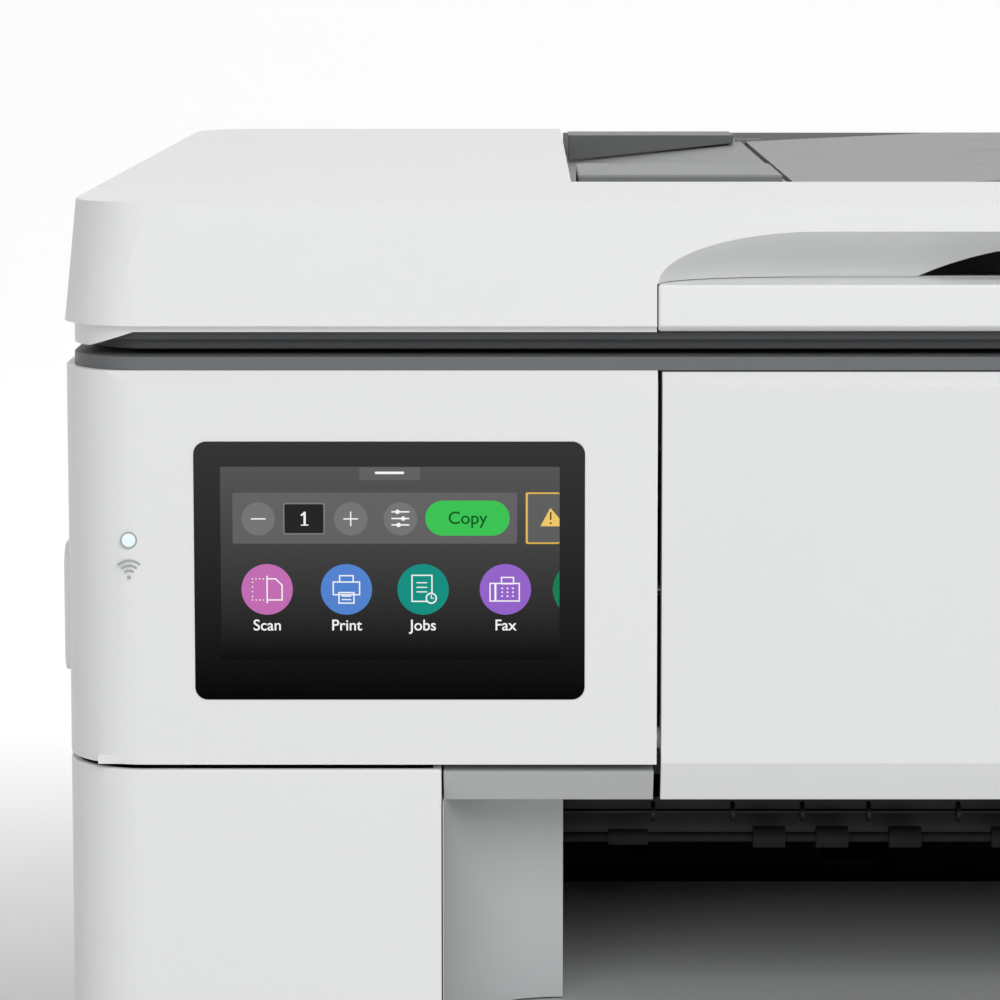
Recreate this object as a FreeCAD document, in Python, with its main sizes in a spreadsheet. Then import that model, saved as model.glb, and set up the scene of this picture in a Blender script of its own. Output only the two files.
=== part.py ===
"""A wide-format inkjet printer with scanner lid and document feeder, as a parametric FreeCAD document.

Frame: X to the printer's right as seen from the front, Y to the back, Z up.
The origin is on the surface that the feet stand on, in the middle of the width and depth.
Sizes are in millimetres and live in the sheet named Sizes.
"""

import FreeCAD
import Part
import Sketcher
import os
import re

Vector = FreeCAD.Vector
doc = FreeCAD.newDocument("InkjetPrinter")
nodes = {}

# alias: value
DIMENSIONS = {
    # casing, seen in plan
    "lidHalf": 291.5,           # half width at the lid's waist
    "frontLine": -233,          # the lid's front face
    "lidRear": 212,             # the lid's rear face
    "caseHalf": 291.1,          # half width of the casings
    "caseFront": -232.6,        # front face of the casings
    "caseRear": 223,            # rear face of the casings
    "corner": 23.2,             # upright corner radius
    "wall": 2.5,                # moulded wall
    "play": 0.3,                # gap round a moving piece
    "runFit": 0.05,             # radial clearance of a shaft in its hole
    # levels
    "footTop": 5,
    "floorTop": 8,
    "lowerTop": 221.9,          # lower casings
    "upperBottom": 223.4,       # upper casings
    "upperTop": 335,
    "ringTop": 338.8,           # scanner frame
    "lidFloor": 340.3,          # underside of the lid
    "skirtBottom": 341.5,       # lower edge of the lid's sides
    "skirtFront": 345.8,        # lower edge of the lid's front
    "waist": 347.7,             # widest level of the lid
    "lidTop": 382,
    # front openings
    "bayHalf": 184.2,           # half width of the opening for bay and trays
    "doorHalf": 122.2,          # half width of the front door
    "columnHalf": 123.5,        # the upper casings start here
    "mouthHalf": 149.5,         # half width of the output mouth
    "browTop": 221.4,
    "browBottom": 212.6,
    "bayFloor": 146,            # top of the output deck
    "deckBottom": 131.5,
    # front door
    "doorTop": 334.6,
    "doorBend": 223.7,
    "doorFoot": 212,
    "doorAxisY": -222,
    "doorAxisZ": 229,
    "doorPin": 3,
    # screen
    "screenX": -198.6,
    "screenZ": 278.65,
    "glassWide": 109.2,
    "glassHigh": 72.9,
    "lampX": -271.7,
    "lampZ": 287.4,
    "lampRadius": 1.9,
    # power button
    "buttonY": -192,
    "buttonZ": 262.7,
    "buttonLong": 24,
    "buttonHigh": 37.3,
    # trays
    "trayHalf": 181,
    "trayFrontHalf": 183.4,
    "trayRear": 198,
    "trayDeep": 24,
    "lowerTray": 10,            # underside of the lower tray
    "upperTray": 72,            # underside of the upper tray
    "frontHigh": 58,            # height of a tray's front
    "guideX": 150,              # side guides of a tray
    # print engine
    "engineHalf": 262,
    "engineFront": -175,
    "engineRear": 62,
    "engineFloor": 158,
    "engineTop": 298,
    "feedY": -70,
    "feedZ": 188,
    "feedRadius": 7,
    "outY": -163,
    "outZ": 185.8,
    "outRadius": 3.2,
    "starZ": 191.4,
    "platenTop": 195,
    "rodY": -5,
    "rodZ": 235,
    "rodRadius": 5,
    "parkX": 200,               # middle of the parked carriage
    "carriageWide": 110,
    "beltZ": 262,
    "beltY": 40,
    "pulleyX": 238,
    "pulleyRadius": 6.5,
    # scanner
    "tubHalf": 264,
    "tubDeep": 176,
    "tubBottom": 305,
    "glassLeft": -214,
    "glassRight": 222,
    "glassDeep": 152,
    "stripLeft": -246,
    "stripRight": -226,
    # lid
    "hingeY": 219,
    "hingeZ": 345,
    "hingeX": 150,
    "handleHalf": 123.4,
    "handleTop": 359.4,
    "handleRear": -207,
    "scoopFlat": 77.8,          # the scoop's straight part, half width
    "scoopHigh": 14.6,
    "scoopDeep": 25.6,
    # document feeder
    "feederX": -146,            # right edge of the feeder cover
    "feederY": -135,            # front edge of the feeder cover
    "feederSeam": 352,          # lower edge of the feeder cover's side
    "flapLeft": -75,
    "flapFront": -116,
    "flapRear": 178,
    "flapThick": 3,
    "guideRight": -81,
    "guideLeft": -144,
    "frontFence": -53,
    "rearFence": 157,
    "rollerX": -205,
    "rollerZ": 371.5,
}

sheet = doc.addObject("Spreadsheet::Sheet", "Sizes")
for row, (alias, value) in enumerate(DIMENSIONS.items(), start=1):
    sheet.set(f"A{row}", alias)
    sheet.set(f"B{row}", str(value))
    sheet.setAlias(f"B{row}", alias)
doc.recompute()


def formula(size):
    """A size written with the sheet's aliases, as a FreeCAD expression."""
    return re.sub(r"[A-Za-z]\w*", lambda word: "Sizes." + word.group(), str(size))


def bind(item, prop, size):
    item.setExpression(prop, formula(size))


def place(item, x, y, z, rotation=None):
    if rotation:
        item.Placement = FreeCAD.Placement(Vector(0, 0, 0), rotation)
    for axis, size in zip("xyz", (x, y, z)):
        bind(item, "Placement.Base." + axis, size)


def box(name, x, y, z):
    """A block between pairs of low and high limits."""
    item = doc.addObject("Part::Box", name)
    for prop, (low, high) in zip(("Length", "Width", "Height"), (x, y, z)):
        bind(item, prop, f"({high}) - ({low})")
    place(item, x[0], y[0], z[0])
    return item


def rod(name, axis, across, radius, span):
    """A round bar along an axis; across gives its other two coordinates in X, Y, Z order."""
    item = doc.addObject("Part::Cylinder", name)
    bind(item, "Radius", radius)
    bind(item, "Height", f"({span[1]}) - ({span[0]})")
    turn = {
        "X": FreeCAD.Rotation(Vector(0, 1, 0), 90),
        "Y": FreeCAD.Rotation(Vector(1, 0, 0), -90),
        "Z": FreeCAD.Rotation(),
    }[axis]
    spot = list(across)
    spot.insert("XYZ".index(axis), span[0])
    place(item, *spot, rotation=turn)
    return item


def prism(name, plane, points, span, rounds=None, draft=None):
    """A body padded from a polygon. Plane XY pads up, XZ pads along Y, YZ pads along X."""
    body = doc.addObject("PartDesign::Body", name + "_body")
    origin = [item for item in body.Origin.OriginFeatures if item.Role == plane + "_Plane"][0]
    sketch = body.newObject("Sketcher::SketchObject", name + "_sketch")
    sketch.AttachmentSupport = [(origin, "")]
    sketch.MapMode = "FlatFace"
    start = f"-({span[1]})" if plane == "XZ" else span[0]
    bind(sketch, "AttachmentOffset.Base.z", start)
    count = len(points)
    guess = rough(points)
    for index in range(count):
        tail = Vector(*guess[index], 0)
        tip = Vector(*guess[(index + 1) % count], 0)
        sketch.addGeometry(Part.LineSegment(tail, tip), False)
    for index in range(count):
        sketch.addConstraint(Sketcher.Constraint("Coincident", index, 2, (index + 1) % count, 1))
    for index, point in enumerate(points):
        for kind, size, near in zip(("DistanceX", "DistanceY"), point, guess[index]):
            number = sketch.addConstraint(Sketcher.Constraint(kind, -1, 1, index, 1, near))
            sketch.setExpression(f"Constraints[{number}]", formula(size))
    pad = body.newObject("PartDesign::Pad", name + "_pad")
    pad.Profile = sketch
    bind(pad, "Length", f"({span[1]}) - ({span[0]})")
    if draft:
        bind(pad, "TaperAngle", draft)
    if rounds:
        sketch.recompute()
        pad.recompute()
        fillet = body.newObject("PartDesign::Fillet", name + "_rounds")
        fillet.Base = (pad, side_edges(pad.Shape, plane))
        bind(fillet, "Radius", rounds)
    return body


def rough(points):
    """The numbers behind a sketch's points, as first positions for its lines."""
    return [tuple(float(sheet.evalExpression(formula(size))) for size in point) for point in points]


def side_edges(shape, plane):
    """The straight edges that run across the sketch plane, from one end face to the other."""
    axis = {"XY": 2, "XZ": 1, "YZ": 0}[plane]
    names = []
    for number, edge in enumerate(shape.Edges, start=1):
        run = edge.Vertexes[-1].Point - edge.Vertexes[0].Point
        if abs(run[axis]) > 0.9 * run.Length:
            names.append(f"Edge{number}")
    return names


def slab(name, x, y, z, rounds, draft=None):
    """A block with rounded upright corners, drafted inwards as it rises if wished."""
    corners = [(x[0], y[0]), (x[1], y[0]), (x[1], y[1]), (x[0], y[1])]
    return prism(name, "XY", corners, z, rounds, draft)


def cut(name, base, *tools):
    item = doc.addObject("Part::Cut", name)
    item.Base = base
    item.Tool = tools[0] if len(tools) == 1 else fuse(name + "_tools", *tools)
    return item


def fuse(name, *parts):
    item = doc.addObject("Part::MultiFuse", name)
    item.Shapes = list(parts)
    return item


def common(name, first, second):
    item = doc.addObject("Part::Common", name)
    item.Base = first
    item.Tool = second
    return item


def group(name, *parts):
    """Separate solids kept together as one sub-part."""
    item = doc.addObject("Part::Compound", name)
    item.Links = list(parts)
    return item


def node(label, item):
    item.Label = label
    nodes[label] = item
    return item


def both(size_low, size_high, side):
    """A pair of limits on the left side (-1) or the right side (1), from distances to the middle."""
    if side > 0:
        return (size_low, size_high)
    return (f"-({size_high})", f"-({size_low})")


SIDES = {"left": -1, "right": 1}


def make_feet():
    feet = []
    for x in (-250, 250):
        for y in (-200, 190):
            feet.append(rod(f"foot_{len(feet)}", "Z", (x, y), 11, ("0", "footTop")))
    node("feet", group("feet", *feet))


def make_base_frame():
    parts = [slab("base_floor", ("-284", "284"), ("-224", "214"), ("footTop", "floorTop"), "18")]
    for name, side in SIDES.items():
        wall = box("base_wall_" + name, both("bayHalf", "bayHalf + 3", side), ("-189", "205"),
                   ("floorTop - 1", "engineFloor"))
        wing = box("base_wing_" + name, both("bayHalf", "278", side), ("-180", "205"),
                   ("engineFloor - 3", "engineFloor"))
        parts += [wall, wing]
    parts.append(box("base_rear", ("-bayHalf", "bayHalf"), ("202", "205"), ("floorTop - 1", "engineFloor")))
    parts.append(box("base_shelf", ("-bayHalf - 1", "bayHalf + 1"), ("-60", "204"), ("66.6", "69.6")))
    bearings = []
    for name, side in SIDES.items():
        bearings.append(rod("pick_hole_" + name, "X", ("130", "102"), "4 + runFit",
                            both("bayHalf - 4", "bayHalf + 8", side)))
    node("base_frame", cut("base_frame", fuse("base_parts", *parts), *bearings))


def casing_wall(name, low, high):
    """The printer's outer wall, all round, between two levels."""
    outer = slab(name + "_outer", ("-caseHalf", "caseHalf"), ("caseFront", "caseRear"), (low, high), "corner")
    inner = slab(name + "_inner", ("-caseHalf + wall", "caseHalf - wall"),
                 ("caseFront + wall", "caseRear - wall"), (low, high), "corner - wall")
    return cut(name, outer, inner)


def make_lower_casings():
    for name, side in SIDES.items():
        ring = casing_wall("lower_ring_" + name, "footTop + 1", "lowerTop")
        half = box("lower_half_" + name, both("bayHalf", "caseHalf + 1", side),
                   ("caseFront - 1", "caseRear + 1"),
                   ("0", "lowerTop"))
        part = common("lower_skin_" + name, ring, half)
        cheek = box("lower_cheek_" + name, both("bayHalf", "bayHalf + wall", side), ("caseFront", "-189.5"),
                    ("floorTop", "lowerTop"))
        node("lower_casing_" + name, fuse("lower_casing_" + name, part, cheek))


def make_upper_casings():
    for name, side in SIDES.items():
        ring = casing_wall("upper_ring_" + name, "upperBottom", "upperTop")
        half = box("upper_half_" + name, both("bayHalf", "caseHalf + 1", side),
                   ("caseFront - 1", "caseRear + 1"),
                   ("upperBottom", "upperTop"))
        column = box("upper_column_" + name, both("columnHalf", "bayHalf + 1", side), ("caseFront - 1", "0"),
                     ("upperBottom", "upperTop"))
        skin = common("upper_skin_" + name, ring, fuse("upper_part_" + name, half, column))
        flange = cut("upper_flange_" + name,
                     common("upper_top_" + name,
                            slab("upper_plate_" + name, ("-caseHalf + 1", "caseHalf - 1"),
                                 ("caseFront + 1", "caseRear - 1"), ("upperTop - wall", "upperTop"),
                                 "corner - 1"),
                            fuse("upper_area_" + name,
                                 box("upper_a_" + name, both("bayHalf", "caseHalf", side),
                                     ("caseFront", "caseRear"), ("upperTop - wall", "upperTop")),
                                 box("upper_b_" + name, both("columnHalf", "bayHalf + 1", side),
                                     ("caseFront", "0"), ("upperTop - wall", "upperTop")))),
                     box("upper_well_" + name, ("-276.5", "276.5"), ("-218", "208"),
                         ("upperTop - 10", "upperTop + 1")))
        cheek = box("upper_cheek_" + name, both("columnHalf", "columnHalf + wall", side),
                    ("caseFront + 1", "-212"), ("upperBottom", "upperTop"))
        sill = box("upper_sill_" + name, both("columnHalf", "caseHalf - 10", side), ("caseFront + 1", "-212"),
                   ("upperBottom", "upperBottom + wall"))
        tools = [
            rod("door_bearing_" + name, "X", ("doorAxisY", "doorAxisZ"), "doorPin + runFit",
                both("columnHalf - 5", "columnHalf + 8", side)),
            prism("upper_bevel_" + name, "YZ",
                  [("caseFront - 1", "upperTop - 3.2"), ("caseFront", "upperTop - 3.2"),
                   ("caseFront + 2.3", "upperTop"), ("caseFront + 2.3", "upperTop + 1"),
                   ("caseFront - 1", "upperTop + 1")], ("-300", "300")),
        ]
        if side < 0:
            tools += screen_openings()
        node("upper_casing_" + name,
             cut("upper_casing_" + name, fuse("upper_body_" + name, skin, flange, cheek, sill), *tools))


def screen_openings():
    """The left casing's holes for the screen, the lamp and the power button."""
    left, right = "screenX - glassWide / 2 - 0.2", "screenX + glassWide / 2 + 0.2"
    low, high = "screenZ - glassHigh / 2 - 0.2", "screenZ + glassHigh / 2 + 0.2"
    screen = prism("screen_hole", "XZ", [(left, low), (right, low), (right, high), (left, high)],
                   ("caseFront - 1", "caseFront + 4"), "3.6")
    lamp = rod("lamp_hole", "Y", ("lampX", "lampZ"), "lampRadius + 0.1", ("caseFront - 1", "caseFront + 4"))
    button = prism("button_hole", "YZ",
                   [("buttonY - buttonLong / 2 - play", "buttonZ - buttonHigh / 2 - play"),
                    ("buttonY + buttonLong / 2 + play", "buttonZ - buttonHigh / 2 - play"),
                    ("buttonY + buttonLong / 2 + play", "buttonZ + buttonHigh / 2 + play"),
                    ("buttonY - buttonLong / 2 - play", "buttonZ + buttonHigh / 2 + play")],
                   ("-caseHalf - 4", "-caseHalf + 4"), "7")
    return [screen, lamp, button]


def make_panel():
    """Screen glass, display module, wireless lamp and power button."""
    glass = prism("display_glass", "XZ",
                  [("screenX - glassWide / 2", "screenZ - glassHigh / 2"),
                   ("screenX + glassWide / 2", "screenZ - glassHigh / 2"),
                   ("screenX + glassWide / 2", "screenZ + glassHigh / 2"),
                   ("screenX - glassWide / 2", "screenZ + glassHigh / 2")],
                  ("caseFront - 0.3", "caseFront + 2.2"), "3.4")
    node("display_glass", glass)
    node("display_panel", box("display_panel", ("screenX - 50.5", "screenX + 50.5"),
                              ("caseFront + 2.2", "caseFront + 7"), ("screenZ - 31", "screenZ + 31")))
    node("wireless_lamp", rod("wireless_lamp", "Y", ("lampX", "lampZ"), "lampRadius",
                              ("caseFront - 0.1", "caseFront + 6")))
    cap = prism("power_button", "YZ",
                [("buttonY - buttonLong / 2", "buttonZ - buttonHigh / 2"),
                 ("buttonY + buttonLong / 2", "buttonZ - buttonHigh / 2"),
                 ("buttonY + buttonLong / 2", "buttonZ + buttonHigh / 2"),
                 ("buttonY - buttonLong / 2", "buttonZ + buttonHigh / 2")],
                ("-caseHalf - 2.4", "-caseHalf + 5"), "6.8")
    node("power_button", cap)


def make_front_door():
    section = [("caseFront", "doorBend"), ("caseFront + 6", "doorFoot"), ("caseFront + 9", "doorFoot + 0.8"),
               ("caseFront + 3", "doorBend + 1"), ("caseFront + 3", "doorTop - 3"),
               ("caseFront + 10", "doorTop - 3"),
               ("caseFront + 10", "doorTop"), ("caseFront + 2.3", "doorTop"), ("caseFront", "doorTop - 3.2")]
    parts = [prism("door_skin", "YZ", section, ("-doorHalf", "doorHalf"))]
    for name, side in SIDES.items():
        parts.append(box("door_rim_" + name, both("doorHalf - 3", "doorHalf", side),
                         ("caseFront + 2", "caseFront + 10"), ("doorBend + 9", "doorTop - 1")))
        parts.append(box("door_lug_" + name, both("doorHalf - 3", "doorHalf", side),
                         ("caseFront + 2", "doorAxisY + 4"), ("doorBend + 1.3", "doorBend + 11")))
        parts.append(rod("door_pin_" + name, "X", ("doorAxisY", "doorAxisZ"), "doorPin",
                         both("doorHalf - 1", "doorHalf + 3.4", side)))
    node("front_door", fuse("front_door", *parts))


def make_output_bay():
    for name, side in SIDES.items():
        block = box("bay_mass_" + name, both("mouthHalf", "bayHalf - 0.3", side), ("caseFront", "-190"),
                    ("bayFloor + 0.5", "browBottom"))
        hollow = rod("bay_hollow_" + name, "Z", ("mouthHalf" if side > 0 else "-mouthHalf", "caseFront"),
                     "34", ("bayFloor - 1", "browBottom + 1"))
        wall = cut("bay_wall_" + name, block, hollow)
        brow = prism("brow_" + name, "YZ",
                     [("caseFront", "browTop"), ("caseFront + 5.5", "browBottom - 0.5"),
                      ("-198", "browBottom - 0.5"),
                      ("-198", "browTop")], both("doorHalf + 2.1", "bayHalf - 0.6", side))
        node("bay_wall_" + name, fuse("bay_" + name, wall, brow))
    top = box("deck_top", ("-183.6", "183.6"), ("-222", "-60"), ("bayFloor - 2.5", "bayFloor"))
    rails = []
    for name, side in SIDES.items():
        rails.append(box("deck_rail_" + name, both("140", "143", side), ("-222", "-60"),
                         ("deckBottom", "bayFloor - 2")))
        rails.append(box("deck_foot_" + name, both("140", "183.6", side), ("-222", "-60"),
                         ("deckBottom", "deckBottom + 2.5")))
        rails.append(box("deck_side_" + name, both("181", "183.6", side), ("-222", "-60"),
                         ("deckBottom", "bayFloor")))
    node("output_deck", fuse("output_deck", top, *rails))
    plate = box("extension_plate", ("-138", "138"), ("-226", "-70"), ("deckBottom + 5", "deckBottom + 8"))
    lip = box("extension_lip", ("-138", "138"), ("-229", "-226"), ("deckBottom + 1", "bayFloor - 3.2"))
    node("output_extension", fuse("output_extension", plate, lip))


def make_trays():
    for name, foot in (("upper", "upperTray"), ("lower", "lowerTray")):
        make_tray(name, foot)


def make_tray(name, foot):
    """A paper tray: tub, front, two side guides and a length guide."""
    outer = box("tub_outer_" + name, ("-trayHalf", "trayHalf"), ("-216", "trayRear"),
                (foot, f"{foot} + trayDeep"))
    inner = box("tub_inner_" + name, ("-trayHalf + wall", "trayHalf - wall"), ("-213.5", "trayRear - wall"),
                (f"{foot} + wall", f"{foot} + trayDeep + 1"))
    notch = box("tub_notch_" + name, ("-42", "42"), ("trayRear - 6", "trayRear + 1"),
                (f"{foot} + wall", f"{foot} + trayDeep + 1"))
    node("tray_" + name, cut("tray_" + name, outer, inner, notch))
    face = box("face_outer_" + name, ("-trayFrontHalf", "trayFrontHalf"), ("caseFront", "-216"),
               (f"{foot} - 1", f"{foot} + frontHigh"))
    grip = box("face_grip_" + name, ("-45", "45"), ("-226", "-215"), (f"{foot} + 2", f"{foot} + 26"))
    reach = box("face_reach_" + name, ("-45", "45"), ("caseFront - 1", "-225"),
                (f"{foot} - 2", f"{foot} + 12"))
    hollow = box("face_hollow_" + name, ("-178", "178"), ("caseFront + wall", "-215"),
                 (f"{foot} + 29", f"{foot} + frontHigh - wall"))
    node("tray_front_" + name, cut("tray_front_" + name, face, grip, reach, hollow))
    for side_name, side in SIDES.items():
        fence = box(f"fence_{name}_{side_name}", both("guideX", "guideX + 2.4", side), ("-90", "70"),
                    (f"{foot} + wall + play", f"{foot} + trayDeep - 2"))
        shoe = box(f"shoe_{name}_{side_name}", both("guideX - 22", "guideX + 1", side), ("-40", "20"),
                   (f"{foot} + wall + play", f"{foot} + wall + 2"))
        node(f"side_guide_{name}_{side_name}", fuse(f"side_guide_{name}_{side_name}", fence, shoe))
    stop = box("stop_" + name, ("-24", "24"), ("-206", "-203.6"),
               (f"{foot} + wall + play", f"{foot} + trayDeep - 2"))
    shoe = box("stop_shoe_" + name, ("-24", "24"), ("-204", "-180"),
               (f"{foot} + wall + play", f"{foot} + wall + 2"))
    node("length_guide_" + name, fuse("length_guide_" + name, stop, shoe))


def make_pick_roller():
    tyre = rod("pick_tyre", "X", ("130", "102"), "14", ("-22", "22"))
    shaft = rod("pick_shaft", "X", ("130", "102"), "4", ("-bayHalf - 4", "bayHalf + 4"))
    node("pick_roller", fuse("pick_roller", tyre, shaft))


def make_engine():
    """Steel frame of the print engine with its rod, belt, motors and rollers."""
    parts = []
    holes = []
    for name, side in SIDES.items():
        parts.append(box("engine_side_" + name, both("engineHalf - 2", "engineHalf", side),
                         ("engineFront", "engineRear"), ("engineFloor", "engineTop")))
        reach = both("engineHalf - 6", "engineHalf + 6", side)
        holes.append(rod("feed_hole_" + name, "X", ("feedY", "feedZ"), "4 + runFit", reach))
        holes.append(rod("out_hole_" + name, "X", ("outY", "outZ"), "1.5 + runFit", reach))
        holes.append(rod("star_hole_" + name, "X", ("outY", "starZ + 2.2"), "0.8 + runFit", reach))
        holes.append(rod("rod_hole_" + name, "X", ("rodY", "rodZ"), "rodRadius", reach))
    parts.append(box("engine_back", ("-engineHalf", "engineHalf"), ("engineRear - 2", "engineRear"),
                     ("engineFloor", "engineTop")))
    parts.append(box("engine_beam", ("-engineHalf", "engineHalf"), ("-158", "-155"), ("204", "216")))
    parts.append(box("motor_shelf", ("pulleyX - 21", "engineHalf"), ("beltY - 20", "engineRear"),
                     ("beltZ - 5", "beltZ - 3")))
    holes.append(rod("motor_hole", "Z", ("pulleyX", "beltY"), "3", ("beltZ - 8", "beltZ")))
    frame = cut("engine_cut", fuse("engine_parts", *parts), *holes)
    post = rod("idler_post", "Z", ("-pulleyX", "beltY"), "pulleyRadius", ("beltZ - 3", "beltZ + 8"))
    arm = box("idler_arm", ("-engineHalf", "-pulleyX + 4"), ("beltY - 8", "engineRear - 1"),
              ("beltZ - 5", "beltZ - 3"))
    node("engine_frame", fuse("engine_frame", frame, post, arm))
    node("guide_rod", rod("guide_rod", "X", ("rodY", "rodZ"), "rodRadius", ("-engineHalf", "engineHalf")))
    outer = fuse("belt_outer", box("belt_mass", ("-pulleyX", "pulleyX"),
                                   ("beltY - pulleyRadius - 1.5", "beltY + pulleyRadius + 1.5"),
                                   ("beltZ", "beltZ + 6")),
                 rod("belt_end_a", "Z", ("-pulleyX", "beltY"), "pulleyRadius + 1.5", ("beltZ", "beltZ + 6")),
                 rod("belt_end_b", "Z", ("pulleyX", "beltY"), "pulleyRadius + 1.5", ("beltZ", "beltZ + 6")))
    inner = fuse("belt_inner", box("belt_gap", ("-pulleyX", "pulleyX"),
                                   ("beltY - pulleyRadius", "beltY + pulleyRadius"),
                                   ("beltZ - 1", "beltZ + 7")),
                 rod("belt_hole_a", "Z", ("-pulleyX", "beltY"), "pulleyRadius", ("beltZ - 1", "beltZ + 7")),
                 rod("belt_hole_b", "Z", ("pulleyX", "beltY"), "pulleyRadius", ("beltZ - 1", "beltZ + 7")))
    node("carriage_belt", cut("carriage_belt", outer, inner))
    pulley = cut("pulley_cut", rod("pulley_disc", "Z", ("pulleyX", "beltY"), "pulleyRadius - play",
                                   ("beltZ - 1", "beltZ + 7")),
                 rod("pulley_bore", "Z", ("pulleyX", "beltY"), "1.5 + runFit", ("beltZ - 2", "beltZ + 8")))
    node("drive_pulley", pulley)
    carriage_motor = fuse("carriage_motor", rod("motor_can_a", "Z", ("pulleyX", "beltY"), "18",
                                                ("beltZ - 42", "beltZ - 5")),
                          rod("motor_shaft_a", "Z", ("pulleyX", "beltY"), "1.5", ("beltZ - 6", "beltZ + 9")))
    feed_motor = rod("motor_can_b", "X", ("30", "200"), "18", ("-engineHalf + 2", "-engineHalf + 40"))
    node("motors", group("motors", carriage_motor, feed_motor))
    node("platen", box("platen", ("-152", "152"), ("-150", "-86"), ("182", "platenTop")))
    node("service_station", box("service_station", ("158", "engineHalf - 2"), ("-140", "-78"),
                                ("engineFloor", "platenTop + 0.6")))
    make_feed_rollers()
    make_carriage()


def make_feed_rollers():
    feed = fuse("feed_roller", rod("feed_tube", "X", ("feedY", "feedZ"), "feedRadius", ("-152", "152")),
                rod("feed_shaft", "X", ("feedY", "feedZ"), "4", ("-engineHalf - 5", "engineHalf + 5")))
    node("feed_roller", feed)
    parts = [rod("out_shaft", "X", ("outY", "outZ"), "1.5", ("-engineHalf - 3", "engineHalf + 3"))]
    for number, x in enumerate((-87, -68, -46, -15, 15, 46, 68, 87)):
        parts.append(rod(f"out_roll_{number}", "X", ("outY", "outZ"), "outRadius",
                         (f"{x} - 4.8", f"{x} + 4.8")))
    for name, side in SIDES.items():
        parts.append(rod("out_collar_" + name, "X", ("outY", "outZ"), "2.4", both("123.6", "135.5", side)))
    node("output_rollers", fuse("output_rollers", *parts))
    wheels = [rod("star_shaft", "X", ("outY", "starZ + 2.2"), "0.8", ("-engineHalf - 3", "engineHalf + 3"))]
    for number, x in enumerate((-122, -98, -77, -57, -30, 0, 30, 57, 77, 98, 122)):
        wheels.append(rod(f"star_{number}", "X", ("outY", "starZ + 2.2"), "3", (f"{x} - 0.6", f"{x} + 0.6")))
    node("star_wheels", fuse("star_wheels", *wheels))


def make_carriage():
    left = "parkX - carriageWide / 2"
    right = "parkX + carriageWide / 2"
    mass = box("carriage_mass", (left, right), ("-154", "5"), ("216.5", "258"))
    throat = box("carriage_throat", (left, right), ("-130", "-86"), ("201", "218"))
    pocket = box("carriage_pocket", (f"{left} + 4", f"{right} - 4"), ("-146", "-30"), ("222", "260"))
    bush = rod("carriage_bush", "X", ("rodY", "rodZ"), "rodRadius + runFit", (f"{left} - 1", f"{right} + 1"))
    arm = box("belt_arm", ("parkX - 8", "parkX + 8"), ("4", "beltY - pulleyRadius - 2"),
              ("beltZ - 8", "beltZ - 4"))
    body = fuse("carriage_fuse", mass, throat, arm)
    node("carriage", cut("carriage", body, pocket, bush))
    node("print_head", box("print_head", (f"{left} + 12", f"{right} - 12"), ("-126", "-90"),
                           ("platenTop + 1.8", "201")))
    tanks = []
    for number in range(4):
        low = f"{left} + 5 + {number} * 25.2"
        tanks.append(box(f"tank_{number}", (low, f"{low} + 23.6"), ("-144", "-32"), ("222", "282")))
    node("ink_cartridges", group("ink_cartridges", *tanks))


def make_electrics():
    node("power_supply", box("power_supply", ("-276", "-194"), ("0", "190"), ("floorTop", "74")))
    node("main_board", box("main_board", ("270", "272"), ("-100", "190"), ("16", "140")))
    socket = box("inlet_mass", ("-177", "-147"), ("203", "224.4"), ("210", "236"))
    throat = box("inlet_throat", ("-172", "-152"), ("210", "226"), ("216", "230"))
    pins = [rod(f"inlet_pin_{x}", "Y", (str(x), "223"), "1.2", ("208", "220")) for x in (-166, -158)]
    node("power_inlet", fuse("power_inlet", cut("inlet_shell", socket, throat), *pins))
    body = box("ports_mass", ("142", "178"), ("203", "223.6"), ("210", "232"))
    usb = box("usb_throat", ("146", "158"), ("208", "226"), ("215", "226"))
    lan = box("lan_throat", ("162", "174"), ("208", "226"), ("215", "226"))
    node("port_sockets", cut("port_sockets", body, usb, lan))


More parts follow.
